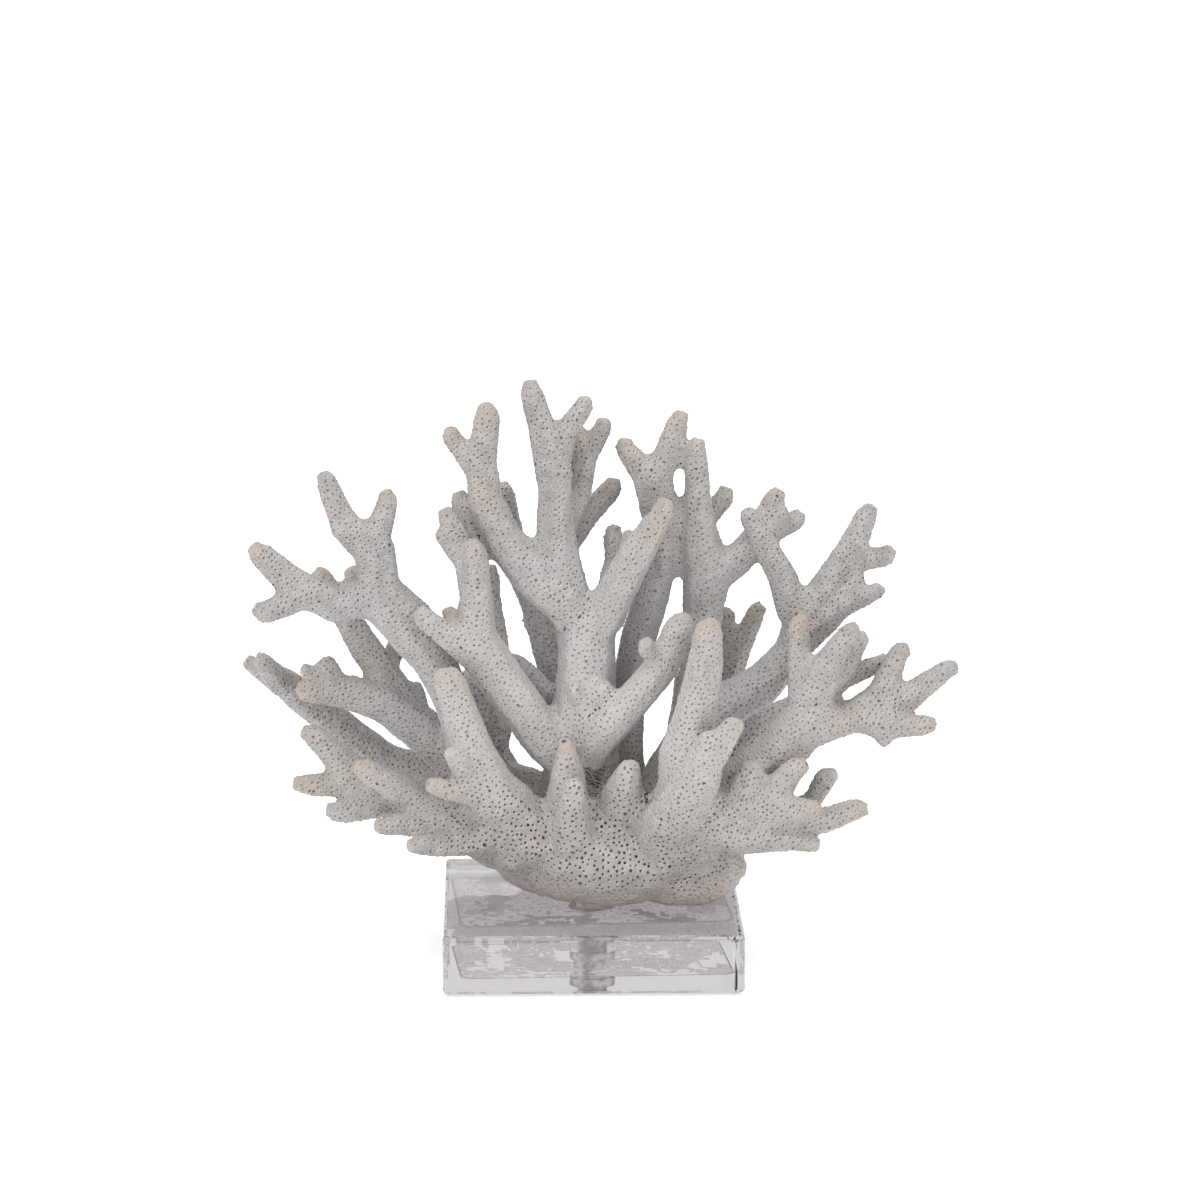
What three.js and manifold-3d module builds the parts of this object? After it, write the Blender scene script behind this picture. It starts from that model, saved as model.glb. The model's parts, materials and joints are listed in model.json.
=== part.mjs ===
// A bleached branching coral, screwed to a clear acrylic display block.
// Millimetres, +Z up. The origin is at the middle of the underside of the non-slip pad.
import * as THREE from 'three';
import { mergeVertices } from 'three/addons/utils/BufferGeometryUtils.js';
import Module from 'manifold-3d';

const wasm = await Module();
wasm.setup();

// ---- Driving dimensions -------------------------------------------------------------------
const GAP = 0.3;                 // space between two pieces that touch
const BLOCK_SIDE = 127;          // a stock 5 inch square block
const BLOCK_HEIGHT = 25.4;       // 1 inch acrylic plate
const BLOCK_CORNER = 3;          // radius of the upright edges
const BLOCK_CHAMFER = 1.6;       // broken edge round the top and the underside
const PAD_WIDTH = 118;           // rubber sheet under the back of the block
const PAD_DEPTH = 80;
const PAD_THICKNESS = 0.8;
const PAD_CORNER = 5;
const PAD_BACK = 17;             // how far the pad's middle lies behind the block's
const PAD_TURN = THREE.MathUtils.degToRad(3.4);
const PAD_GAP = 0.1;
const BORE_RADIUS = 6.4;         // stepped bore, from the underside up
const BORE_WASHER_RADIUS = 9.7;
const BORE_HEAD_RADIUS = 8.1;
const HEAD_SEAT = 4;             // height of the washer's groove above the underside
const WASHER_SEAT = 7.6;
const SCREW_REACH = 14;          // how far the screw runs up into the coral
const SCREW_FLAT = 0.8;          // how far the screw's head stays inside the block
const RING_STEP = 20;            // longest step between two rings of a limb
const THICK = 10.5;              // a branch this thick has eight sides, and a thinner one six

const CORAL_COLOUR = '#d9d6cf';
const ACRYLIC_COLOUR = '#dfe4e6';
const STEEL_COLOUR = '#a9abad';
const RUBBER_COLOUR = '#8f8d97';

// ---- Solids -------------------------------------------------------------------------------
function toSolid(geometry) {
  const bare = geometry.clone();
  bare.deleteAttribute('normal');
  bare.deleteAttribute('uv');
  const merged = mergeVertices(bare, 1e-4);
  return new wasm.Manifold(new wasm.Mesh({
    numProp: 3,
    vertProperties: new Float32Array(merged.attributes.position.array),
    triVerts: new Uint32Array(merged.index.array),
  }));
}

function toGeometry(solid) {
  const mesh = solid.getMesh();
  const geometry = new THREE.BufferGeometry();
  geometry.setAttribute('position', new THREE.BufferAttribute(mesh.vertProperties.slice(), 3));
  geometry.setIndex(new THREE.BufferAttribute(mesh.triVerts.slice(), 1));
  geometry.computeVertexNormals();
  return geometry;
}

function largestPiece(solid) {
  const pieces = solid.decompose();
  pieces.sort((a, b) => b.volume() - a.volume());
  return pieces[0];
}

function union(solids) {
  return solids.reduce((whole, solid) => whole.add(solid));
}

// ---- Coral branches -----------------------------------------------------------------------
// A branch is a capsule bent along a smooth curve through [x, y, z, radius] points, so both of
// its ends are domes. Heights are above the underside of the block.
function bentCapsule(points, growth) {
  const curve = new THREE.CatmullRomCurve3(
    points.map(([x, y, z]) => new THREE.Vector3(x, y, z)), false, 'centripetal');
  const spans = points.length - 1;
  const steps = Math.max(2, Math.ceil(curve.getLength() / RING_STEP));
  const frames = curve.computeFrenetFrames(steps, false);
  const thickest = Math.max(...points.map((point) => point[3]));
  const sides = thickest > THICK ? 8 : 6;
  const roundness = Math.sqrt(Math.PI / (sides * Math.sin(Math.PI / sides)));
  const geometry = new THREE.CapsuleGeometry(1, steps, 2, sides, steps);
  const position = geometry.attributes.position;
  const place = new THREE.Vector3();

  for (let index = 0; index < position.count; index += 1) {
    const along = THREE.MathUtils.clamp(position.getY(index) + steps / 2, 0, steps);
    const beyond = position.getY(index) + steps / 2 - along;
    const ring = Math.round(along);
    const t = curve.getUtoTmapping(ring / steps) * spans;
    const before = Math.min(Math.floor(t), spans - 1);
    const blend = THREE.MathUtils.smoothstep(t - before, 0, 1);
    const radius = roundness * THREE.MathUtils.lerp(
      points[before][3], points[before + 1][3], blend) + growth;
    place.copy(curve.getPointAt(ring / steps));
    place.addScaledVector(frames.normals[ring], position.getX(index) * radius);
    place.addScaledVector(frames.binormals[ring], -position.getZ(index) * radius);
    place.addScaledVector(frames.tangents[ring], beyond * radius);
    position.setXYZ(index, place.x, place.y, place.z);
  }
  return toSolid(geometry);
}

// A lump is a rounded mass: [x, y, z, half width, half depth, half height].
function lump([x, y, z, width, depth, height], growth) {
  const geometry = new THREE.IcosahedronGeometry(1, 2);
  geometry.scale(width + growth, depth + growth, height + growth);
  geometry.translate(x, y, z);
  return toSolid(geometry);
}

function grow(limb, growth) {
  const branches = limb.branches.map((points) => bentCapsule(points, growth));
  const lumps = (limb.lumps ?? []).map((size) => lump(size, growth));
  return union([...branches, ...lumps]);
}

// The coral, from its foot to its outer limbs. A limb that comes later grows out of, and is
// trimmed round, the ones before it.
const LIMBS = [
  {
    name: 'coral_crown',
    lumps: [
      [4, 10, 45, 48, 40, 24],
      [38, -4, 42, 29, 25, 20],
      [-34, 15, 57, 30, 27, 22],
      [8, -10, 46, 36, 27, 21],
    ],
    branches: [
      [[-9, -10, 54, 16], [-10, -17, 70, 11], [-10.5, -22, 84, 6.8], [-11, -25, 97, 4.4]],
      [[-6, -18, 50, 15], [-8, -28, 64, 9], [-8, -34, 76, 5.4], [-8, -36, 83, 4.2]],
      [[8, -12, 56, 15], [12, -19, 70, 10.5], [15, -25, 81, 6.8], [16, -28, 88, 5.2]],
    ],
  },
  {
    name: 'coral_trunk',
    branches: [
      [[-5, 6, 56, 19], [-4, 2, 84, 15.8], [-3, 0, 100, 14.4], [-2, 0, 125, 12.2], [-2, 0, 143, 12]],
      [[-3, -4, 112, 8], [-7, -13, 120, 3.6]],
      [[-1, -4, 112, 9], [5, -14, 120, 4.5]],
    ],
  },
  {
    name: 'top_middle_limb',
    branches: [
      [[-9, 0, 152, 10.4], [-14, 0, 173, 10.4], [-15, 0, 190, 8.6], [-15.5, 0, 205, 7.3],
        [-17, 0, 217, 7.6]],
      [[-18, 1, 218, 7], [-22, 2, 235, 5.8], [-25, 3, 245, 5]],
      [[-14, -2, 218, 6.5], [-9, -3, 234, 4.8], [-3, -3, 240, 4.2]],
      [[-14, -3, 178, 6], [-14, -8, 190, 4.2], [-12, -10, 214, 4]],
      [[-14, 4, 184, 6], [-6, 10, 193, 4.6], [-4, 12, 206, 5], [-3, 12, 216, 5.5]],
      [[-4, 12, 214, 4], [-5, 13, 225, 3.5]],
      [[-2, 12, 215, 4.5], [5, 13, 228, 4]],
      [[-12, 6, 164, 6.5], [-8, 16, 180, 4.4], [0, 20, 190, 5], [9, 21, 200, 4.6]],
    ],
  },
  {
    name: 'top_left_limb',
    branches: [
      [[-12, -1, 157, 11], [-22, -3, 166, 10.2], [-32, -5, 176, 9], [-40, -6, 188, 8],
        [-45, -7, 201, 7.2], [-47, -7, 213, 7], [-46, -8, 222, 6.3], [-44, -9, 237, 5.2]],
      [[-46, -7, 212, 6], [-53, -4, 220, 5], [-59, -2, 227, 4]],
    ],
  },
  {
    name: 'top_right_limb',
    branches: [
      [[4, -1, 147, 9.6], [9, -6, 159, 8.3], [14, -9, 168, 8.2], [20, -11, 180, 7.6], [28, -13, 190, 6],
        [30, -14, 197, 5]],
      [[9, 0, 164, 5.5], [11, 10, 173, 4.6], [10, 12, 181, 4.4]],
      [[14, -6, 172, 5], [16, -2, 184, 3]],
    ],
  },
  {
    name: 'right_back_limb',
    branches: [
      [[14, 18, 60, 10], [18, 21, 84, 5.6], [18, 22, 96, 5.6], [17, 22, 115, 7.5], [21, 20, 136, 8],
        [24, 17, 147, 8], [30, 13, 165, 6.8], [31, 10, 183, 7.8], [28, 8, 198, 9], [26.5, 7, 208, 8.9]],
      [[23, 7, 210, 6.4], [15, 6, 220, 4.6]],
      [[29.5, 7, 211, 6.6], [37, 8, 231, 4.7]],
      [[28, 10, 194, 7], [27, 26, 200, 5.5], [26, 38, 205, 4.5]],
    ],
  },
  {
    name: 'right_tall_limb',
    branches: [
      [[30, 10, 62, 12], [41, 11, 84, 8], [45, 12, 108, 8], [47, 12, 128, 8], [48, 12, 147, 8.5],
        [50, 12, 158, 9.5], [50, 10, 168, 10.5], [47, 8, 179, 8.2], [45.5, 6, 194, 6.2],
        [45.5, 5, 209, 4.7], [44.5, 4, 220, 4.4]],
      [[50, 11, 163, 9], [58, 10, 166, 8.2], [65, 8, 175, 6.8], [72, 8, 184, 5.6], [78, 7, 197, 5.2]],
      [[70, 8, 182, 5], [79, 9, 184, 4.6], [87, 10, 188, 4.3]],
      [[75, 6, 186, 4.5], [81, 4, 192, 3.5]],
      [[47, 13, 177, 5], [50, 17, 187, 3.8], [57, 20, 196, 4.3]],
      [[50, 14, 158, 8], [50, 32, 160, 6], [50, 48, 166, 5]],
    ],
  },
  {
    name: 'right_outer_limb',
    branches: [
      [[30, 2, 66, 13], [42, 3, 92, 11], [55, 5, 106, 10], [68, 6, 114, 9.6], [79, 6, 122, 8.2],
        [88, 5, 136, 7], [91, 4, 148, 7.6]],
      [[87, 4, 150, 8], [80, 3, 169, 6.5], [73, 2, 181, 5.5], [67, 1, 192, 4]],
      [[90, 4, 146, 8], [95, 4, 150, 8.4], [102, 5, 160, 8.2], [108.5, 5, 170, 7.8], [113, 5, 182, 5.6],
        [117.5, 5, 191, 4.9]],
      [[108, 5, 170, 6], [117, 6, 172, 5], [125, 7, 173, 4.6]],
      [[88, 4, 136, 8], [97, 2, 145, 7.6], [105, 1, 152, 6], [112, -2, 156, 4.8], [121, -5, 160, 3.5]],
      [[108, 3, 162, 5], [114, 0, 164, 3]],
      [[90, 6, 150, 7], [97, 24, 150, 6], [102, 40, 152, 5]],
    ],
  },
  {
    name: 'right_front_limb',
    branches: [
      [[42, -8, 60, 13], [61, -18, 79, 11], [72, -22, 88, 10], [84, -25, 100, 10.8],
        [92, -26, 110, 11]],
      [[91, -26, 112, 9], [90, -26, 119, 8], [88, -23, 134, 5.8], [87, -21, 149, 4.3]],
      [[93, -27, 116, 9], [97, -30, 131, 7], [102, -32, 140, 5], [108, -33, 149, 3.9]],
      [[101, -24, 126, 5.5], [108, -20, 132, 4.4], [113, -18, 141.5, 3.8]],
      [[96, -22, 118, 6.5], [103, -16, 123, 5.2], [112, -12, 127, 4.6], [122, -11, 130, 4]],
      [[90, -26, 106, 10], [98, -26, 109, 8.6], [108, -26, 110, 7], [118, -26, 113, 8.2],
        [125, -24, 125, 5.6], [130, -22, 137.5, 4.2]],
      [[119, -26, 113, 8], [130, -25, 118, 6.5], [141, -24, 122, 6], [150, -22, 130, 4.4]],
      [[114, -28, 111, 7.5], [122, -30, 108, 6.3], [132, -33, 108, 5], [140, -35, 109, 4.3]],
      [[120, -30, 108, 5], [123, -32, 102, 3.2]],
    ],
  },
  {
    name: 'right_hidden_limb',
    branches: [
      [[40, 22, 58, 11], [59, 30, 77, 8], [69, 34, 87, 7], [82, 38, 97, 7], [95, 46, 98, 6.3],
        [102, 52, 109, 5.5], [108, 56, 119, 4.5]],
      [[80, 38, 95, 6.5], [88, 52, 88, 5.5], [92, 66, 86, 4.5]],
    ],
  },
  {
    name: 'right_slender_limb',
    branches: [
      [[40, 26, 60, 10], [52, 28, 90, 7.5], [58, 29, 106, 6.5], [61, 30, 118, 6], [67, 31, 131, 4.8],
        [72, 32, 143, 4.2]],
      [[62, 30, 121, 5], [60, 34, 131, 3.8], [59, 36, 140, 3.7]],
    ],
  },
  {
    name: 'front_tall_limb',
    branches: [
      [[26, -10, 54, 17], [38, -26, 76, 11.6], [39, -34, 98, 10.6], [44, -36, 118, 9.2],
        [47, -37, 135.5, 7.2], [48.5, -36, 149, 6.4]],
      [[45, -38, 126, 6], [44.5, -45, 137, 3.9]],
    ],
  },
  {
    name: 'front_low_right_limb',
    branches: [
      [[36, -16, 50, 15], [49, -30, 65, 13], [60, -36, 74, 10], [70, -40, 76, 9], [78, -42, 81, 7],
        [85, -44, 93, 4.8]],
      [[62, -36, 76, 8], [66, -38, 88, 6.8]],
      [[70, -42, 76, 7], [82, -48, 76, 6.4], [91, -54, 78, 4]],
      [[60, -32, 70, 8], [80, -28, 70, 6], [94, -28, 73, 5.2], [99, -30, 85, 4.6]],
      [[70, -40, 72, 8], [87, -44, 69, 6.5], [100, -46, 71, 5.5], [110, -48, 76, 5]],
      [[54, -34, 64, 10], [67, -42, 63, 8], [79, -47, 63, 5.5], [91, -52, 62, 3.6]],
    ],
  },
  {
    name: 'front_stub_limb',
    branches: [
      [[31, -20, 54, 17], [41, -39, 81, 11], [48, -50, 99, 7.8], [48.5, -54, 107, 5.2]],
      [[50, -49, 99, 6.5], [57.5, -51, 112, 4.9]],
    ],
  },
  {
    name: 'centre_left_limb',
    branches: [
      [[-8, -3, 86, 12], [-21, -5, 98, 9.6], [-30, -8, 112, 9.6], [-40, -10, 126, 10],
        [-49, -12, 140, 10], [-49.5, -13, 153, 7.6], [-48.5, -14, 167, 6.2], [-49, -20, 181, 5]],
      [[-50, -13, 162, 6], [-52.5, -11, 175, 5.4], [-60, -10, 193, 4.8]],
      [[-50, -11, 168, 5.5], [-50, -4, 181, 5], [-55, 0, 198, 4.6]],
      [[-56, -10, 178, 4.5], [-63, -9, 186, 3]],
      [[-47, -13, 134, 8.5], [-53, -16, 138, 6.5], [-62, -18, 146, 6], [-70, -20, 152, 5]],
      [[-54, -12, 144, 5.5], [-60, -8, 151, 3.5]],
      [[-40, -6, 124, 7], [-39, 8, 131, 4.4], [-41, 14, 146, 3.7], [-43, 18, 164, 3.5]],
    ],
  },
  {
    name: 'left_high_limb',
    branches: [
      [[-34, 4, 64, 13], [-50, 2, 86, 9.6], [-58, 1, 110, 8], [-67, 0, 130, 9.4], [-79, -2, 148, 11.6],
        [-91, -3, 160, 10.6]],
      [[-90, -4, 160, 9.5], [-90, -4, 171, 9], [-94, -4, 183, 9.6], [-105, -5, 191, 6.8],
        [-110, -5, 201, 5.4], [-111.5, -5, 208, 4.7]],
      [[-92, -3, 182, 7], [-88, -3, 194, 4.9], [-86, -2, 200, 4.2]],
      [[-90, -3, 158, 9], [-105, -5, 155, 8.2], [-115, -6, 158, 8], [-124, -6, 162.5, 7.9],
        [-132, -6, 172, 6.6], [-139.5, -5, 177, 5.5]],
      [[-122, -6, 161, 6.5], [-132, -8, 155, 5.4], [-138, -9, 153.5, 4.8]],
      [[-78, 2, 144, 9], [-84, 24, 149, 7], [-88, 42, 156, 5.4]],
    ],
  },
  {
    name: 'left_middle_limb',
    branches: [
      [[-36, 12, 62, 13], [-49, 10, 74, 10.5], [-62, 14, 86, 9.6], [-75, 16, 98, 9.6],
        [-90, 16, 108, 8.5], [-102, 15, 112, 7.5], [-112, 14, 115, 7.3], [-121, 12, 114, 5]],
      [[-110, 14, 115, 6.5], [-113, 14, 124, 5]],
      [[-116, 13, 116, 4], [-122, 13, 123, 2.4]],
      [[-76, 16, 99, 8.5], [-88, 24, 116, 8], [-98, 28, 131, 7], [-108, 30, 147, 6],
        [-115, 32, 159, 4.5]],
      [[-106, 30, 144, 5], [-102, 32, 160, 4]],
      [[-86, 23, 112, 6], [-87, 34, 122, 4.8], [-80, 40, 134, 4.4]],
      [[-74, 18, 100, 6], [-75, 25, 112, 2.8]],
    ],
  },
  {
    name: 'left_low_limb',
    branches: [
      [[-38, 4, 58, 14], [-62, 2, 66, 10.8], [-84, 0, 72, 9], [-98, -2, 78, 8], [-112, -3, 92, 5.4],
        [-119, -3, 98, 4.6]],
      [[-98, -3, 76, 7], [-112, -4, 76, 4.8], [-123, -5, 77, 4.4]],
      [[-76, -3, 70, 8], [-88, -8, 70, 7], [-99, -11, 68, 5.5], [-108, -13, 67, 4.8]],
      [[-62, -6, 66, 9], [-75, -14, 72, 7], [-86, -18, 80, 6], [-96, -22, 87, 5]],
      [[-46, -8, 60, 10], [-62, -18, 63, 7], [-77, -22, 64, 5], [-88, -26, 64, 4]],
      [[-36, -12, 56, 10], [-52, -22, 58, 8], [-65, -27, 56, 5.5], [-74, -32, 57, 4.2]],
    ],
  },
  {
    name: 'left_far_limb',
    branches: [
      [[-40, 20, 54, 13], [-58, 33, 66, 8.8], [-71, 38, 71, 8], [-83, 40, 74, 7], [-96, 40, 81, 7.4],
        [-109, 38, 92, 8], [-121, 35, 102.5, 7.5], [-131, 30, 112.5, 6.5], [-139, 26, 119, 5.2],
        [-145, 26, 122, 3.9]],
      [[-134, 28, 114, 6], [-140, 18, 125, 4.2]],
      [[-92, 40, 78, 7], [-104, 56, 80, 6], [-114, 68, 88, 4.6]],
    ],
  },
  {
    name: 'left_front_limb',
    branches: [
      [[-27, -12, 54, 18], [-44, -20, 78, 11.4], [-52, -24, 101, 8], [-57, -26, 116, 7.4],
        [-60, -27, 127, 6.5]],
      [[-42, -20, 74, 8], [-54, -30, 84, 5.6], [-58, -34, 96, 4.5]],
      [[-50, -28, 78, 5.5], [-58, -34, 81, 4.6], [-66, -38, 84, 3.7]],
    ],
  },
  {
    name: 'middle_front_limb',
    branches: [
      [[-2, -5, 92, 11], [6, -12, 103, 8.8], [16, -15, 114, 7.5], [25, -17, 125, 7], [33, -18, 136, 7],
        [37, -19, 148, 6.2]],
      [[31, -18, 133, 5.5], [27, -20, 136, 4.2], [23, -24, 140, 4]],
    ],
  },
  {
    name: 'back_left_upright',
    branches: [
      [[-6, 8, 82, 12], [-12, 20, 102, 7.5], [-14, 25, 118, 6.7], [-20, 26, 133, 6.2], [-24, 28, 149, 6],
        [-30, 28, 164, 5.8],
        [-35, 28, 184, 5], [-37, 27, 197, 4.6]],
      [[-11, 16, 98, 7], [-17, 9, 112, 5], [-25, 10, 121, 4.2], [-32, 12, 126, 3.9]],
      [[-23, 28, 140, 6], [-22, 42, 146, 5.2], [-20, 54, 152, 4.4]],
    ],
  },
  {
    name: 'back_left_stub',
    branches: [
      [[-27, 22, 57, 9], [-41, 30, 82, 5.4], [-45, 32, 97, 6], [-51, 34, 112, 5.8]],
      [[-41, 30, 86, 5.6], [-38, 44, 96, 5.2], [-34, 56, 104, 4.6]],
    ],
  },
  {
    name: 'back_right_stub',
    branches: [
      [[24, 24, 58, 10], [37, 32, 82, 5.2], [40, 36, 101, 4.7], [41, 38, 113, 4]],
    ],
  },
  {
    name: 'back_trunk_spur',
    branches: [
      [[-2, 4, 112, 10], [-1, 26, 122, 7.4], [-2, 44, 134, 5.4]],
      [[-1, 28, 122, 6], [6, 42, 122, 4.8]],
    ],
  },
  {
    name: 'back_middle_limb',
    branches: [
      [[4, 20, 58, 13], [6, 46, 74, 10], [8, 62, 92, 9], [6, 75, 107, 7.4], [0, 86, 120, 5.4]],
      [[8, 66, 94, 7], [14, 84, 104, 5.4]],
    ],
  },
  {
    name: 'back_left_limb',
    branches: [
      [[-22, 28, 52, 12], [-40, 54, 60, 9], [-54, 70, 70, 7.6], [-66, 86, 78, 5.4]],
      [[-52, 68, 68, 6.6], [-48, 88, 77, 5.4]],
    ],
  },
  {
    name: 'back_right_limb',
    branches: [
      [[24, 28, 52, 13], [38, 54, 62, 10], [50, 70, 74, 8.4], [60, 86, 84, 5.4]],
      [[48, 68, 72, 7], [46, 90, 90, 5.4]],
    ],
  },
  {
    name: 'back_low_limb',
    branches: [
      [[0, 34, 46, 12], [-4, 62, 47, 9], [-8, 84, 53, 6]],
      [[-3, 60, 47, 7], [10, 84, 56, 5.4]],
    ],
  },
  {
    name: 'back_low_left_limb',
    branches: [
      [[-28, 32, 46, 11], [-52, 57, 49, 7.6], [-68, 73, 55, 5]],
    ],
  },
  {
    name: 'back_low_right_limb',
    branches: [
      [[28, 32, 46, 11], [54, 58, 47, 8], [72, 75, 53, 5.4]],
      [[52, 58, 47, 6], [59, 86, 51, 5]],
    ],
  },
];

// ---- Stand --------------------------------------------------------------------------------
function roundedRectangle(width, depth, corner) {
  const shape = new THREE.Shape();
  const right = width / 2 - corner;
  const back = depth / 2 - corner;
  shape.absarc(right, back, corner, 0, Math.PI / 2);
  shape.absarc(-right, back, corner, Math.PI / 2, Math.PI);
  shape.absarc(-right, -back, corner, Math.PI, 1.5 * Math.PI);
  shape.absarc(right, -back, corner, 1.5 * Math.PI, 2 * Math.PI);
  shape.closePath();
  return shape;
}

// A turned solid round +Z from [radius, height] corners, which start and end on the axis.
function turned(corners, segments = 24) {
  const outline = corners.map(([radius, height]) => new THREE.Vector2(radius, height));
  return new THREE.LatheGeometry(outline, segments).rotateX(Math.PI / 2);
}

function boreSolid(clearance) {
  return toSolid(turned([
    [0, -1],
    [BORE_HEAD_RADIUS - clearance, -1],
    [BORE_HEAD_RADIUS - clearance, HEAD_SEAT],
    [BORE_WASHER_RADIUS - clearance, HEAD_SEAT],
    [BORE_WASHER_RADIUS - clearance, WASHER_SEAT - clearance],
    [BORE_RADIUS - clearance, WASHER_SEAT - clearance],
    [BORE_RADIUS - clearance, BLOCK_HEIGHT + 1],
    [0, BLOCK_HEIGHT + 1],
  ]));
}

function acrylicBlock() {
  const inset = 2 * BLOCK_CHAMFER;
  const outline = roundedRectangle(BLOCK_SIDE - inset, BLOCK_SIDE - inset, BLOCK_CORNER - BLOCK_CHAMFER);
  const geometry = new THREE.ExtrudeGeometry(outline, {
    depth: BLOCK_HEIGHT - inset,
    bevelThickness: BLOCK_CHAMFER,
    bevelSize: BLOCK_CHAMFER,
    bevelSegments: 2,
    curveSegments: 3,
  });
  geometry.translate(0, 0, BLOCK_CHAMFER);
  return toGeometry(toSolid(geometry).subtract(boreSolid(0)));
}

function washer() {
  const top = WASHER_SEAT - GAP;
  const hole = BORE_RADIUS;
  return turned([
    [hole, HEAD_SEAT + GAP],
    [BORE_WASHER_RADIUS - GAP, HEAD_SEAT + GAP],
    [BORE_WASHER_RADIUS - GAP, top],
    [hole, top],
    [hole, HEAD_SEAT + GAP],
  ]);
}

function mountingScrew() {
  const shank = BORE_RADIUS - GAP;
  const head = BORE_HEAD_RADIUS - GAP;
  const tip = BLOCK_HEIGHT + SCREW_REACH;
  return turned([
    [0, SCREW_FLAT],
    [head - 0.8, SCREW_FLAT],
    [head, SCREW_FLAT + 0.8],
    [head, HEAD_SEAT],
    [shank, HEAD_SEAT],
    [shank, tip - 2],
    [shank - 2, tip],
    [0, tip],
  ]);
}

function rubberPad() {
  const geometry = new THREE.ExtrudeGeometry(roundedRectangle(PAD_WIDTH, PAD_DEPTH, PAD_CORNER), {
    depth: PAD_THICKNESS,
    bevelEnabled: false,
    curveSegments: 5,
  });
  geometry.rotateZ(PAD_TURN);
  return toGeometry(toSolid(geometry));
}

// ---- Assembly -----------------------------------------------------------------------------
function piece(name, geometry, colour, roughness, metalness) {
  const material = new THREE.MeshStandardMaterial({ color: colour, roughness, metalness });
  const mesh = new THREE.Mesh(geometry, material);
  mesh.name = name;
  return mesh;
}

const coral = new THREE.Group();

// The foot is ground flat on the block, and drilled for the screw.
const belowFoot = toSolid(new THREE.BoxGeometry(400, 400, 100).translate(0, 0, BLOCK_HEIGHT + GAP - 50));
const screwHole = toSolid(turned([
  [0, 0],
  [BORE_RADIUS, 0],
  [BORE_RADIUS, BLOCK_HEIGHT + SCREW_REACH + GAP],
  [0, BLOCK_HEIGHT + SCREW_REACH + GAP],
]));
let taken = union([belowFoot, screwHole]);

for (const limb of LIMBS) {
  const solid = largestPiece(grow(limb, 0).subtract(taken));
  coral.add(piece(limb.name, toGeometry(solid), CORAL_COLOUR, 0.85, 0));
  taken = taken.add(grow(limb, GAP));
}

const stand = new THREE.Group();
stand.add(piece('acrylic_block', acrylicBlock(), ACRYLIC_COLOUR, 0.05, 0));
stand.add(piece('mounting_screw', mountingScrew(), STEEL_COLOUR, 0.35, 1));
stand.add(piece('spacer_washer', washer(), STEEL_COLOUR, 0.5, 0));

const pad = piece('non_slip_pad', rubberPad(), RUBBER_COLOUR, 0.8, 0);
pad.position.set(0, PAD_BACK, 0);

const raised = new THREE.Group();
raised.position.z = PAD_THICKNESS + PAD_GAP;
raised.add(stand, coral);

const object = new THREE.Group();
object.add(raised, pad);

export default object;
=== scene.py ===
import json
import math
import random

import bmesh
import bpy
from mathutils import Matrix, Vector, noise
from mathutils.bvhtree import BVHTree
from mathutils.kdtree import KDTree

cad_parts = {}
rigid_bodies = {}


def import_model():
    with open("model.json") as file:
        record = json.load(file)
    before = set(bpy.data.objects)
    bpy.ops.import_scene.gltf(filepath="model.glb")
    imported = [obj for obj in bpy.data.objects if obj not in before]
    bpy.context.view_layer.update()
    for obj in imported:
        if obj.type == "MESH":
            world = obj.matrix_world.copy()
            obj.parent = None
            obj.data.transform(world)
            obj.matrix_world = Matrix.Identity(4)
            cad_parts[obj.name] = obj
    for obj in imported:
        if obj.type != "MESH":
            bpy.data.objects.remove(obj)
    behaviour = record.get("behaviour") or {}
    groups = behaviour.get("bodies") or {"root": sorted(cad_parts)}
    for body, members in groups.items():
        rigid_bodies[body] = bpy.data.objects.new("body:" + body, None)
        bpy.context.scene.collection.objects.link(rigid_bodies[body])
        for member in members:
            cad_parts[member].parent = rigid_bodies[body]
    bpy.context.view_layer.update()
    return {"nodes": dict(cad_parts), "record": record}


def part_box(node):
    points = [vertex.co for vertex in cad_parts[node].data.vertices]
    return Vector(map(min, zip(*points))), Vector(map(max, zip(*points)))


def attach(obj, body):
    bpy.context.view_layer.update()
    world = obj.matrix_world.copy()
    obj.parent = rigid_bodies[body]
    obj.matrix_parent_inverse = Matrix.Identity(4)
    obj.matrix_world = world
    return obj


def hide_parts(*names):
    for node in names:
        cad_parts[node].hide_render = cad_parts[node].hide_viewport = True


for leftover in list(bpy.data.objects):
    bpy.data.objects.remove(leftover)
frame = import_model()
slot_of = {part["node"]: part["material_slot"] for part in frame["record"]["subparts"]}

# ---- Camera, light and floor ---------------------------------------------------------------
# A long lens a little above the coral, as for a catalogue, in a white studio: a broad soft
# light overhead, weaker ones at the sides, and a glowing white table under a white backdrop.
MM = 0.001
block_low, block_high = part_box("acrylic_block")
VIEW_ELEVATION = math.radians(12.3)
VIEW_AZIMUTH = math.radians(-1.2)
VIEW_DISTANCE = 2.13
LENS = 150
SENSOR = 36                      # in millimetres, as the lens is
aim = Vector((3.8 * MM, 0, block_low.z + 156 * MM))


def seen_from(azimuth, elevation, distance):
    """The step from what is looked at to the camera; azimuth 0 is the front."""
    return Vector((
        math.sin(azimuth) * math.cos(elevation),
        -math.cos(azimuth) * math.cos(elevation),
        math.sin(elevation),
    )) * distance


camera = bpy.data.objects.new("camera", bpy.data.cameras.new("camera"))
bpy.context.scene.collection.objects.link(camera)
camera.data.lens = LENS
camera.data.sensor_width = SENSOR
camera.data.clip_end = 20
camera.location = aim + seen_from(VIEW_AZIMUTH, VIEW_ELEVATION, VIEW_DISTANCE)
camera.rotation_euler = (aim - camera.location).to_track_quat("-Z", "Y").to_euler()
bpy.context.scene.camera = camera


LIT_POINT = Vector((0, 0, 100 * MM))


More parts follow.
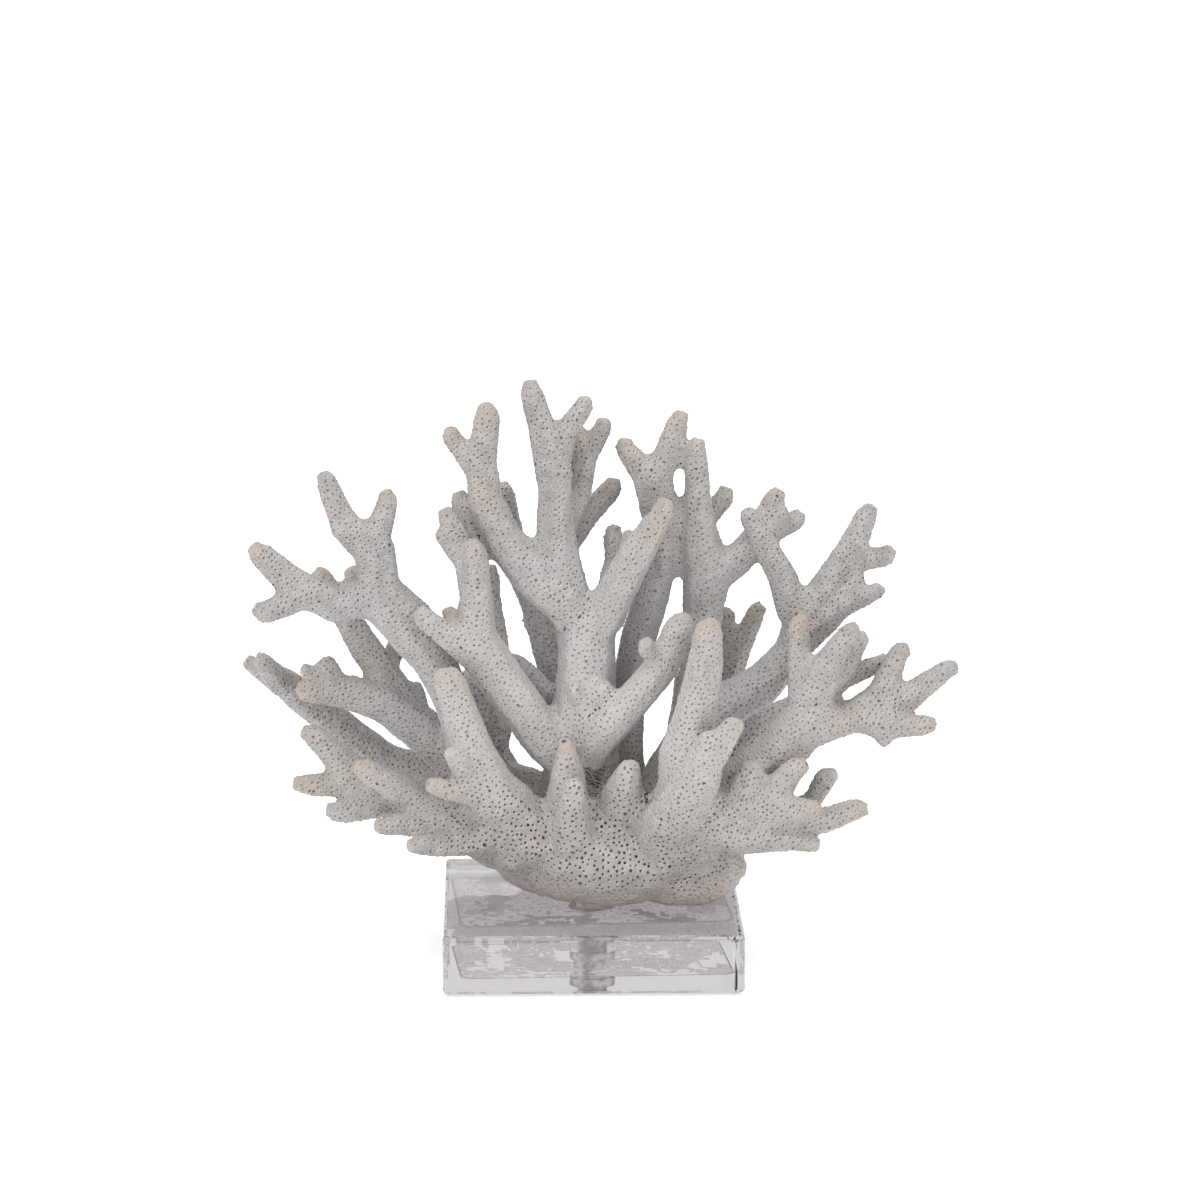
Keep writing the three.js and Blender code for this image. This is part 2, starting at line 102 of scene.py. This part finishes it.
def soft_light(name, place, size, watts):
    """A square light that faces the coral."""
    lamp = bpy.data.objects.new(name, bpy.data.lights.new(name, "AREA"))
    bpy.context.scene.collection.objects.link(lamp)
    lamp.data.shape = "SQUARE"
    lamp.data.size = size
    lamp.data.energy = watts
    lamp.location = place
    lamp.rotation_euler = (LIT_POINT - lamp.location).to_track_quat("-Z", "Y").to_euler()


soft_light("overhead_light", Vector((-0.2, -0.3, 1.6)), 1.2, 12)
soft_light("left_light", Vector((-1.5, -0.9, 0.9)), 1.0, 4)
soft_light("right_light", Vector((1.5, -0.9, 0.9)), 1.0, 3)


def srgb(text):
    """An sRGB hex colour as a linear one."""
    channels = [int(text[place:place + 2], 16) / 255 for place in (1, 3, 5)]
    linear = [c / 12.92 if c <= 0.04045 else ((c + 0.055) / 1.055) ** 2.4 for c in channels]
    return (*linear, 1.0)


def node(tree, kind, settings=None, **links):
    """A new node with its settings, and its inputs linked by name."""
    made = tree.nodes.new(kind)
    for name, value in (settings or {}).items():
        if name in made.inputs:
            made.inputs[name].default_value = value
        else:
            setattr(made, name, value)
    for name, source in links.items():
        tree.links.new(source, made.inputs[name.replace("_", " ")])
    return made


def material(name):
    made = bpy.data.materials.new(name)
    made.use_nodes = True
    return made, made.node_tree, made.node_tree.nodes["Principled BSDF"]


def new_object(name, mesh):
    made = bpy.data.objects.new(name, mesh)
    bpy.context.scene.collection.objects.link(made)
    return made


def mesh_from(name, bm):
    mesh = bpy.data.meshes.new(name)
    bm.to_mesh(mesh)
    bm.free()
    return mesh


# The backdrop is plain white light from all round.
world = bpy.data.worlds.new("white_studio")
world.use_nodes = True
world.node_tree.nodes["Background"].inputs["Color"].default_value = (1, 1, 1, 1)
world.node_tree.nodes["Background"].inputs["Strength"].default_value = 1.0
bpy.context.scene.world = world
bpy.context.scene.view_settings.view_transform = "Standard"

# White paper lit from below, so that it is as bright as the backdrop and hides its edge.
FLOOR_REACH = 8
floor_shape = bmesh.new()
bmesh.ops.create_grid(floor_shape, x_segments=1, y_segments=1, size=FLOOR_REACH)
floor = new_object("floor", mesh_from("floor", floor_shape))
floor_paper, tree, principled = material("glowing_white_table")
principled.inputs["Base Color"].default_value = srgb("#f2f2f2")
principled.inputs["Roughness"].default_value = 0.9
principled.inputs["Specular IOR Level"].default_value = 0.1
principled.inputs["Emission Color"].default_value = (1, 1, 1, 1)
principled.inputs["Emission Strength"].default_value = 0.4
floor.data.materials.append(floor_paper)

# ---- Coral ---------------------------------------------------------------------------------
# The stony skeleton of a branching coral, bleached and washed: calcium carbonate that grew as
# one body of blunt forked limbs, pitted all over by the round cups its polyps lived in, with
# one larger cup at each tip. Each limb is a piece, parted from the next at their fork.
VOXEL = 1.2 * MM
OVERLAP = 1.15 * MM              # closes the gaps between limbs before they are blended
SHRINK = 0.75 * MM               # and is mostly taken off again after that
BLEND_PASSES = 9
TIP_REACH = 5 * MM               # a twig's end is the furthest point within this distance
PORE_STEP = 1.95 * MM            # usual least distance between two pores on a limb
CROWN_PORE_STEP = 2.1 * MM
PORE_CELL = 3 * MM               # wider than any such distance, so that near pores are found
CROWN_TOP = 96 * MM
CROWN_RADIUS = 78 * MM
CROWN_FADE = 30 * MM             # over which the crown turns into limbs
HEART = Vector((0, 0, 60 * MM))  # where the limbs grow from
INNER_REACH = 50 * MM            # nearer to the heart than this there is no twig's end
RIM_HEIGHT = 0.14 * MM
PALE = -1.0                      # values of the "pore" attribute: a pale rim, and a brown cup
BROWN = 1.0

coral_nodes = [name for name, slot in slot_of.items() if slot == "coral"]


def rough_coral():
    """All the limbs of the frame as one loose mesh, swollen enough to overlap."""
    whole = bmesh.new()
    for name in coral_nodes:
        limb = bmesh.new()
        limb.from_mesh(frame["nodes"][name].data)
        bmesh.ops.remove_doubles(limb, verts=limb.verts, dist=1e-6)
        limb.normal_update()
        for vert in limb.verts:
            vert.co += vert.normal * OVERLAP
        part = mesh_from("part", limb)
        whole.from_mesh(part)
        bpy.data.meshes.remove(part)
    return whole


def grown_together(whole):
    """One skin over the limbs, with the forks rounded off."""
    holder = new_object("coral_skin", mesh_from("coral_skin", whole))
    remesh = holder.modifiers.new("skin", "REMESH")
    remesh.mode = "VOXEL"
    remesh.voxel_size = VOXEL
    smooth = holder.modifiers.new("round", "SMOOTH")
    smooth.factor = 0.5
    smooth.iterations = BLEND_PASSES
    depsgraph = bpy.context.evaluated_depsgraph_get()
    skin = bmesh.new()
    skin.from_object(holder, depsgraph)
    bpy.data.objects.remove(holder)
    return skin


def limb_finder():
    """A function from a point to the number of the limb whose solid is nearest."""
    points, triangles, owner = [], [], []
    for number, name in enumerate(coral_nodes):
        mesh = frame["nodes"][name].data
        mesh.calc_loop_triangles()
        start = len(points)
        points.extend(vert.co.copy() for vert in mesh.vertices)
        for triangle in mesh.loop_triangles:
            triangles.append([start + index for index in triangle.vertices])
            owner.append(number)
    tree = BVHTree.FromPolygons(points, triangles, all_triangles=True)
    return lambda point: owner[tree.find_nearest(point)[2]]


coral = grown_together(rough_coral())
foot_level = block_high.z + 0.35 * MM


def crownness(point):
    """1 in the bowl that the limbs grow from, fading to 0 on the limbs."""
    height = (CROWN_TOP - point.z) / CROWN_FADE
    spread = (CROWN_RADIUS - Vector((point.x, point.y)).length) / CROWN_FADE
    return max(0.0, min(1.0, height, spread))


def weather(bm):
    """Lumps and hollows all over, deeper in the crown, and a foot that stays flat."""
    for vert in bm.verts:
        crown = crownness(vert.co)
        lumps = noise.noise(vert.co * 75) * (0.55 + 0.5 * crown) * MM
        lumps += noise.noise(vert.co * 210) * 0.25 * MM
        lumps += noise.noise(vert.co * 38 + Vector((4, 1, 7))) * 2.2 * crown * MM
        vert.co += vert.normal * (lumps - SHRINK)
        if vert.co.z < foot_level:
            vert.co.z = foot_level
    bm.normal_update()


def point_tree(points):
    tree = KDTree(len(points))
    for index, point in enumerate(points):
        tree.insert(point, index)
    tree.balance()
    return tree


def branch_tips(bm):
    """The end of each twig: no vertex near it lies further from the crown."""
    bm.verts.index_update()
    reach = [(vert.co - HEART).length for vert in bm.verts]
    tree = point_tree([vert.co for vert in bm.verts])
    tips = []
    for vert in bm.verts:
        own = reach[vert.index]
        if own < INNER_REACH:
            continue
        if any(reach[edge.other_vert(vert).index] > own for edge in vert.link_edges):
            continue
        if all(reach[index] <= own for _, index, _ in tree.find_range(vert.co, TIP_REACH)):
            tips.append(vert.co.copy())
    return tips


def ring_tips(bm, tips):
    """Swells the end of each twig, with a low round wall and a dip in its middle."""
    for vert in bm.verts:
        away = tips.find(vert.co)[2] / MM
        if away < 4:
            swell = 1.2 * math.exp(-(away / 3) ** 2)
            wall = 0.42 * math.exp(-((away - 2.1) / 0.8) ** 2)
            dip = 0.8 * math.exp(-(away / 1.2) ** 2)
            vert.co += vert.normal * (swell + wall - dip) * MM
    bm.normal_update()


weather(coral)
tip_places = branch_tips(coral)
tip_tree = point_tree(tip_places)
ring_tips(coral, tip_tree)

# A face's material index is the number of the limb it belongs to, until the limbs are parted.
nearest_limb = limb_finder()
for face in coral.faces:
    face.material_index = nearest_limb(face.calc_center_median())


def neighbours(face):
    """The faces that share an edge with this one."""
    return [other for edge in face.edges for other in edge.link_faces if other is not face]


def tidy_borders(bm, passes):
    """A face that juts into the next limb joins it."""
    for _ in range(passes):
        for face in bm.faces:
            around = [other.material_index for other in neighbours(face)]
            if around.count(face.material_index) <= 1:
                face.material_index = max(sorted(set(around)), key=around.count)


tidy_borders(coral, 3)


def pore_seats(bm):
    """Vertices a step apart, clear of the foot and of the joints between limbs."""
    order = list(bm.verts)
    draw = random.Random(7)
    draw.shuffle(order)
    order.sort(key=lambda vert: tip_tree.find(vert.co)[2] > 0.3 * MM)
    cells = {}
    seats = []
    for vert in order:
        if vert.co.z < foot_level + 1.2 * MM or len(vert.link_edges) > 6:
            continue
        if len({face.material_index for face in vert.link_faces}) > 1:
            continue
        step = PORE_STEP + (CROWN_PORE_STEP - PORE_STEP) * crownness(vert.co)
        step *= draw.uniform(0.85, 1.12)
        if tip_tree.find(vert.co)[2] < 3 * MM:
            step *= 1.2
        cell = tuple(int(c // PORE_CELL) for c in vert.co)
        near = (
            other
            for dx in (-1, 0, 1) for dy in (-1, 0, 1) for dz in (-1, 0, 1)
            for other in cells.get((cell[0] + dx, cell[1] + dy, cell[2] + dz), ())
        )
        if any((other - vert.co).length < step for other in near):
            continue
        cells.setdefault(cell, []).append(vert.co.copy())
        seats.append(vert)
    return seats


def pore_shape(place, draw):
    """Radius, depth, rim height and brownness of the pore at a place."""
    away = tip_tree.find(place)[2] / MM
    if away < 0.5:
        return 0.9 * MM, 0.75 * MM, 0.25 * MM, 0.4
    crown = crownness(place)
    size = draw.uniform(0.43, 0.73) + crown * draw.uniform(0.05, 0.19)
    brown = draw.uniform(0.12, 0.55) + 0.5 * crown
    worn = min(1.0, 0.45 + away / 16)
    depth = size * (0.65 + 0.7 * crown) * worn
    return size * (0.75 + 0.25 * worn) * MM, depth * MM, RIM_HEIGHT * worn, brown * worn


def set_ring(verts, centre, normal, radius, depth, value, draw):
    """Rounds a pore's ring of vertices, and lowers it into the limb."""
    for vert in verts:
        spoke = vert.co - centre
        spoke -= normal * spoke.dot(normal)
        uneven = radius * draw.uniform(0.86, 1.14)
        vert.co = centre + spoke.normalized() * uneven - normal * depth
        vert[pore_layer] = value


def sink_pores(bm, seats):
    """Each seat becomes a round patch with a raised rim, then a cup."""
    patches = bmesh.ops.bevel(
        bm, geom=seats, offset=0.4 * MM, offset_type="OFFSET", affect="VERTICES",
        segments=2, profile=0.5, clamp_overlap=True, material=-1)["faces"]
    bm.normal_update()
    bm.verts.index_update()
    inside = set(patches)
    middles = [vert for vert in {vert for face in patches for vert in face.verts}
               if all(face in inside for face in vert.link_faces)]
    middles.sort(key=lambda vert: vert.index)
    draw = random.Random(11)
    plans = [(vert, vert.co.copy(), vert.normal.copy(), pore_shape(vert.co, draw))
             for vert in middles]
    for middle, centre, normal, (radius, depth, rim, brown) in plans:
        ring = sorted({vert for face in middle.link_faces for vert in face.verts} - {middle},
                      key=lambda vert: vert.index)
        set_ring(ring, centre, normal, radius, -rim, PALE, draw)
    bmesh.ops.inset_region(bm, faces=patches, thickness=0.05 * MM, use_even_offset=False)
    bm.verts.index_update()
    for middle, centre, normal, (radius, depth, rim, brown) in plans:
        ring = sorted({vert for face in middle.link_faces for vert in face.verts} - {middle},
                      key=lambda vert: vert.index)
        set_ring(ring, centre, normal, radius * 0.74, depth, brown * BROWN, draw)
        middle.co = centre - normal * depth * 1.15
        middle[pore_layer] = brown * BROWN


def stain_tips(bm):
    """Some tips are beige, fading over a few millimetres."""
    draw = random.Random(5)
    strength = [draw.choice((0.15, 0.35, 0.6, 0.9)) for _ in tip_places]
    for vert in bm.verts:
        _, index, away = tip_tree.find(vert.co)
        vert[stain_layer] = strength[index] * math.exp(-away / (7 * MM))


pore_layer = coral.verts.layers.float.new("pore")
stain_layer = coral.verts.layers.float.new("stain")
sink_pores(coral, pore_seats(coral))
stain_tips(coral)


def mixed(tree, factor, first, second):
    """A colour between two, each a hex text or a socket; the factor is a socket or a number."""
    made = tree.nodes.new("ShaderNodeMix")
    made.data_type = "RGBA"
    for place, value in ((0, factor), (6, first), (7, second)):
        if isinstance(value, str):
            made.inputs[place].default_value = srgb(value)
        elif isinstance(value, float):
            made.inputs[place].default_value = value
        else:
            tree.links.new(value, made.inputs[place])
    return made.outputs[2]


def ramp(tree, source, low, high, top=1.0):
    """A value that rises from 0 at low to top at high, held beyond them."""
    limits = {"From Min": low, "From Max": high, "To Max": top}
    return node(tree, "ShaderNodeMapRange", limits, Value=source).outputs["Result"]


def speckle(tree, place, size, detail):
    """A cloudy pattern with blotches of about the given size."""
    noise_settings = {"Scale": 1 / size, "Detail": detail}
    return node(tree, "ShaderNodeTexNoise", noise_settings, Vector=place).outputs["Fac"]


POWDER = 6.25 * MM               # powdery white patches
AGEING = 33.3 * MM               # wide beige stains
FINE_SPECKLE = 0.833 * MM                # fine dark speckles
PIT_STEP = 1.053 * MM            # the fine pits between pores, drawn coarse enough to show
UNEVEN = 1.923 * MM              # patches where those pits are deeper or shallower


def coral_limestone():
    """Bleached aragonite: matt and chalky, greyish white, beige at tips and brown in pores, with
    painted shade far out on the limbs and low on the crown, and painted light just above the foot.
    """
    made, tree, principled = material("bleached_coral_limestone")
    place = node(tree, "ShaderNodeTexCoord").outputs["Object"]
    pore = node(tree, "ShaderNodeAttribute", {"attribute_name": "pore"}).outputs["Fac"]
    stain = node(tree, "ShaderNodeAttribute", {"attribute_name": "stain"}).outputs["Fac"]
    height = node(tree, "ShaderNodeSeparateXYZ", Vector=place).outputs["Z"]
    reach = node(tree, "ShaderNodeVectorMath", {"operation": "DISTANCE"})
    tree.links.new(place, reach.inputs[0])
    reach.inputs[1].default_value = HEART
    # Painted shade: the colour turns darker with distance from the heart, out along the limbs.
    chalk_and_painted_light = mixed(tree, ramp(tree, reach.outputs["Value"], 0.065, 0.15), "#b4b2b2", "#979595")
    # Painted shade: darker towards the bottom of the crown, below about 0.1 m.
    chalk_and_painted_light = mixed(tree, ramp(tree, height, 0.1, 0.06), chalk_and_painted_light, "#9a9795")
    # Painted light: paler and beige just above the foot, as if lit by the table and block below.
    chalk_and_painted_light = mixed(tree, ramp(tree, height, 0.042, 0.03, 0.9), chalk_and_painted_light, "#cfc1b5")
    powder = ramp(tree, speckle(tree, place, POWDER, 4.0), 0.42, 0.62, 0.4)
    chalk_and_painted_light = mixed(tree, powder, chalk_and_painted_light, "#bbb9b8")
    ageing = ramp(tree, speckle(tree, place, AGEING, 4.0), 0.54, 0.74, 0.5)
    chalk_and_painted_light = mixed(tree, ageing, chalk_and_painted_light, "#ab9f92")
    chalk_and_painted_light = mixed(tree, stain, chalk_and_painted_light, "#ab9a88")
    fine_dark_speckle = ramp(tree, speckle(tree, place, FINE_SPECKLE, 2.0), 0.56, 0.7, 0.4)
    chalk_and_painted_light = mixed(tree, fine_dark_speckle, chalk_and_painted_light, "#857e7a")
    chalk_and_painted_light = mixed(tree, ramp(tree, pore, 0.0, PALE, 0.6), chalk_and_painted_light, "#cdcac8")
    chalk_and_painted_light = mixed(tree, ramp(tree, pore, 0.0, BROWN), chalk_and_painted_light, "#745844")
    tree.links.new(chalk_and_painted_light, principled.inputs["Base Color"])
    principled.inputs["Roughness"].default_value = 0.88
    principled.inputs["Specular IOR Level"].default_value = 0.3
    pits = node(tree, "ShaderNodeTexVoronoi", {"Scale": 1 / PIT_STEP}, Vector=place).outputs["Distance"]
    grain = node(tree, "ShaderNodeMath", {"operation": "MULTIPLY"})
    tree.links.new(pits, grain.inputs[0])
    tree.links.new(speckle(tree, place, UNEVEN, 4.0), grain.inputs[1])
    bump = node(tree, "ShaderNodeBump", {"Strength": 0.8, "Distance": 0.9 * MM},
                Height=grain.outputs["Value"])
    tree.links.new(bump.outputs["Normal"], principled.inputs["Normal"])
    return made


limestone = coral_limestone()


def part_limbs(whole):
    """Splits the skin into an object for each limb, named by its first material, in name order."""
    mesh = mesh_from("coral_skin", whole)
    for name in coral_nodes:
        mesh.materials.append(bpy.data.materials.new(name))
    holder = new_object("coral_skin", mesh)
    bpy.ops.object.select_all(action="DESELECT")
    bpy.context.view_layer.objects.active = holder
    holder.select_set(True)
    bpy.ops.object.mode_set(mode="EDIT")
    bpy.ops.mesh.select_all(action="SELECT")
    bpy.ops.mesh.separate(type="MATERIAL")
    bpy.ops.object.mode_set(mode="OBJECT")
    parts = sorted(bpy.context.selected_objects, key=lambda part: part.data.materials[0].name)
    for part in parts:
        bpy.context.scene.collection.objects.unlink(part)
        bpy.context.scene.collection.objects.link(part)
    return parts


def close_limb(piece):
    """Caps the limb where it was parted, so that it is one closed body."""
    limb = bmesh.new()
    limb.from_mesh(piece.data)
    for face in limb.faces:
        face.smooth = True
    rims = [edge for edge in limb.edges if edge.is_boundary]
    for edge in rims:
        edge.smooth = False
    bmesh.ops.holes_fill(limb, edges=rims, sides=0)
    limb.to_mesh(piece.data)
    limb.free()


for piece in part_limbs(coral):
    limb_name = piece.data.materials[0].name
    close_limb(piece)
    piece.name = limb_name + "_skin"
    piece.data.name = piece.name
    piece.data.materials.clear()
    piece.data.materials.append(limestone)
    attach(piece, "root")
    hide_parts(limb_name)

# ---- Acrylic block -------------------------------------------------------------------------
# A square block of cast acrylic, sawn from plate, its faces and its broken edges polished, with
# a stepped bore through the middle. It is clear, with the faint grey of thick cast plate, so
# the eye sees the table and the sheet beneath it, bent and doubled at the edges.
def paint(name, finish):
    """Gives a piece of the frame, whose mesh stays as it is, its finish."""
    data = frame["nodes"][name].data
    data.materials.clear()
    data.materials.append(finish)


acrylic, tree, principled = material("polished_cast_acrylic")
principled.inputs["Base Color"].default_value = srgb("#cbc9cb")
principled.inputs["Transmission Weight"].default_value = 1.0
principled.inputs["Roughness"].default_value = 0.0
principled.inputs["IOR"].default_value = 1.49
paint("acrylic_block", acrylic)

# ---- Frosted wall of the bore --------------------------------------------------------------
# The bore was drilled and counterbored in the acrylic, and its wall was left unpolished, so it
# scatters light and shows as a cloudy grey tube inside the clear block.
BORE_STEPS = ((8.1, 0.3), (8.1, 4.0), (9.7, 4.0), (9.7, 7.6), (6.4, 7.6), (6.4, 25.2))
BORE_SEGMENTS = 48
WALL = 0.06 * MM
BORE_PAINTED_GLOW = 0.3                  # painted glow, standing in for light that the clear block gathers round the bore
CLOUD = 3.846 * MM               # patches that the drill left smoother or rougher


def frosted_wall(steps, segments):
    """The bore's stepped wall, a hair inside the acrylic, from radii and heights in mm."""
    wall = bmesh.new()
    rings = []
    for radius, height in steps:
        rings.append([
            wall.verts.new((
                (radius * MM + WALL) * math.cos(turn), (radius * MM + WALL) * math.sin(turn),
                block_low.z + height * MM))
            for turn in (math.tau * step / segments for step in range(segments))])
    for lower, upper in zip(rings, rings[1:]):
        for step in range(segments):
            after = (step + 1) % segments
            wall.faces.new((lower[step], lower[after], upper[after], upper[step])).smooth = True
    return mesh_from("frosted_bore_wall", wall)


frosted, tree, principled = material("unpolished_bore_wall")
place = node(tree, "ShaderNodeTexCoord").outputs["Object"]
cloud = ramp(tree, speckle(tree, place, CLOUD, 4.0), 0.4, 0.62)
cloudy = mixed(tree, cloud, "#a7a3a5", "#d8d5d6")
tree.links.new(cloudy, principled.inputs["Base Color"])
tree.links.new(cloudy, principled.inputs["Emission Color"])
# Painted light: the wall glows in its own cloudy colour.
principled.inputs["Emission Strength"].default_value = BORE_PAINTED_GLOW
principled.inputs["Roughness"].default_value = 0.35
wall = new_object("frosted_bore_wall", frosted_wall(BORE_STEPS, BORE_SEGMENTS))
wall.data.materials.append(frosted)
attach(wall, "root")

# ---- Adhesive sheet ------------------------------------------------------------------------
# The pad's adhesive, pressed on the underside: a thin lilac-grey sheet in contact with the
# acrylic, with trapped air showing as bright pockets, and its cut edge as a dark line. It is
# turned by a few degrees, and runs up the foot of the back face.
SHEET_WIDTH = 117 * MM
SHEET_DEPTH = 79 * MM
SHEET_STEP = 0.65 * MM
SHEET_LIFT = 0.12 * MM
SHEET_CORNER = 6 * MM
SHEET_BACK = 17 * MM
SHEET_TURN = math.radians(3.4)
BACK_STRIP = 8.5 * MM
STRIP_LIFT = 0.3 * MM
SHEET_PAINTED_GLOW = 0.36                      # painted glow, standing in for the light that the clear block gathers behind the sheet


def has_air(point):
    """Whether air is trapped at a place: wide ragged pockets, and pinholes between them."""
    wide = Vector((point.x, point.y * 0.6, 0))
    pocket = noise.noise(wide * 62 + Vector((1, 5, 0))) * 0.8 + noise.noise(point * 230) * 0.5
    pinhole = noise.noise(point * 620 + Vector((3, 3, 3)))
    return pocket > 0.07 or pinhole > 0.27


def edge_distance(x, y):
    """How far inside the sheet's rounded outline a place is."""
    dx = abs(x) - (SHEET_WIDTH / 2 - SHEET_CORNER)
    dy = abs(y) - (SHEET_DEPTH / 2 - SHEET_CORNER)
    if dx > 0 and dy > 0:
        return SHEET_CORNER - math.hypot(dx, dy)
    return SHEET_CORNER - max(dx, dy)


def sheet_of_cells(name, width, depth, to_world, edge_at):
    """A thin sheet of small cells without those that hold air; its rim has slot 1."""
    columns, rows = round(width / SHEET_STEP), round(depth / SHEET_STEP)
    sheet = bmesh.new()
    grid = [[sheet.verts.new(to_world(Vector((
        (column / columns - 0.5) * width, (row / rows - 0.5) * depth, 0))))
        for column in range(columns + 1)] for row in range(rows + 1)]
    for row in range(rows):
        for column in range(columns):
            x = ((column + 0.5) / columns - 0.5) * width
            y = ((row + 0.5) / rows - 0.5) * depth
            inside = edge_at(x, y)
            if inside < 0 or inside > SHEET_STEP and has_air(Vector((x, y, 0))):
                continue
            face = sheet.faces.new((
                grid[row][column], grid[row][column + 1],
                grid[row + 1][column + 1], grid[row + 1][column]))
            face.material_index = int(inside < SHEET_STEP)
    loose = [vert for vert in sheet.verts if not vert.link_faces]
    bmesh.ops.delete(sheet, geom=loose, context="VERTS")
    return new_object(name, mesh_from(name, sheet))


# Acrylic adhesive wets the block, so it shows matt and even, with a faint lilac cast.
lilac, tree, principled = material("lilac_adhesive")
place = node(tree, "ShaderNodeTexCoord").outputs["Object"]
lilac_patch = ramp(tree, speckle(tree, place, 3.333 * MM, 4.0), 0.4, 0.6)
lilac_tone = mixed(tree, lilac_patch, "#e2dde1", "#ebe7ea")
tree.links.new(lilac_tone, principled.inputs["Base Color"])
tree.links.new(lilac_tone, principled.inputs["Emission Color"])
# Painted light: the sheet glows in its own colour.
principled.inputs["Emission Strength"].default_value = SHEET_PAINTED_GLOW
principled.inputs["Roughness"].default_value = 0.7

# The cut edge is drawn a shade darker than the sheet, and has the same painted glow.
cut_edge, tree, principled = material("cut_edge_of_adhesive")
principled.inputs["Base Color"].default_value = srgb("#bcb5b8")
principled.inputs["Emission Color"].default_value = srgb("#bcb5b8")
principled.inputs["Emission Strength"].default_value = SHEET_PAINTED_GLOW
principled.inputs["Roughness"].default_value = 0.7

lay_down = (
    Matrix.Translation((0, SHEET_BACK, block_low.z + SHEET_LIFT))
    @ Matrix.Rotation(SHEET_TURN, 4, "Z"))
stand_up = (
    Matrix.Translation((0, block_high.y - SHEET_LIFT, block_low.z + STRIP_LIFT + BACK_STRIP / 2))
    @ Matrix.Rotation(math.pi / 2, 4, "X"))
sheets = (
    sheet_of_cells(
        "adhesive_sheet", SHEET_WIDTH, SHEET_DEPTH, lambda at: lay_down @ at, edge_distance),
    sheet_of_cells(
        "adhesive_strip", SHEET_WIDTH, BACK_STRIP, lambda at: stand_up @ at, lambda x, y: 2 * MM),
)
for sheet in sheets:
    sheet.data.materials.append(lilac)
    sheet.data.materials.append(cut_edge)
    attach(sheet, "root")

# ---- Mounting screw, washer and pad --------------------------------------------------------
# A turned steel screw comes up through the bore into the coral's foot, over a turned nylon
# washer. Under the back of the block is a thin pad of soft grey rubber that keeps it from
# sliding.

# Turned steel: bright, with fine rings from the lathe that smear its reflections.
LATHE_STEP = 0.35 * MM
WAVE_TURNS = 20 / math.tau       # the waves that the node draws in one unit at scale 1
steel, tree, principled = material("turned_steel")
place = node(tree, "ShaderNodeTexCoord").outputs["Object"]
lathe_rings = {"Scale": 1 / (WAVE_TURNS * LATHE_STEP), "Distortion": 1.5, "bands_direction": "Z"}
rings = node(tree, "ShaderNodeTexWave", lathe_rings, Vector=place)
principled.inputs["Base Color"].default_value = srgb("#b4b5b8")
principled.inputs["Metallic"].default_value = 1.0
tree.links.new(
    node(tree, "ShaderNodeMapRange", {"To Min": 0.25, "To Max": 0.42}, Value=rings.outputs["Fac"])
    .outputs["Result"], principled.inputs["Roughness"])
paint("mounting_screw", steel)

# Nylon: milky and slightly mottled, with a soft sheen.
nylon, tree, principled = material("turned_nylon")
place = node(tree, "ShaderNodeTexCoord").outputs["Object"]
tree.links.new(
    mixed(tree, ramp(tree, speckle(tree, place, 2.5 * MM, 3.0), 0.4, 0.6), "#aba8a8", "#bebbba"),
    principled.inputs["Base Color"])
principled.inputs["Roughness"].default_value = 0.5
paint("spacer_washer", nylon)

# Soft rubber: matt and pale, a little uneven. Painted light: its colour is drawn paler than the grey
# rubber is, and it glows, so that seen through the block it is as bright as the sheet.
PAD_PAINTED_GLOW = SHEET_PAINTED_GLOW * 1.3
rubber, tree, principled = material("soft_grey_rubber")
place = node(tree, "ShaderNodeTexCoord").outputs["Object"]
tree.links.new(
    mixed(tree, ramp(tree, speckle(tree, place, 2 * MM, 4.0), 0.4, 0.6), "#c9c4c8", "#d6d2d4"),
    principled.inputs["Base Color"])
principled.inputs["Emission Color"].default_value = srgb("#cfcace")
principled.inputs["Emission Strength"].default_value = PAD_PAINTED_GLOW
principled.inputs["Roughness"].default_value = 0.85
paint("non_slip_pad", rubber)
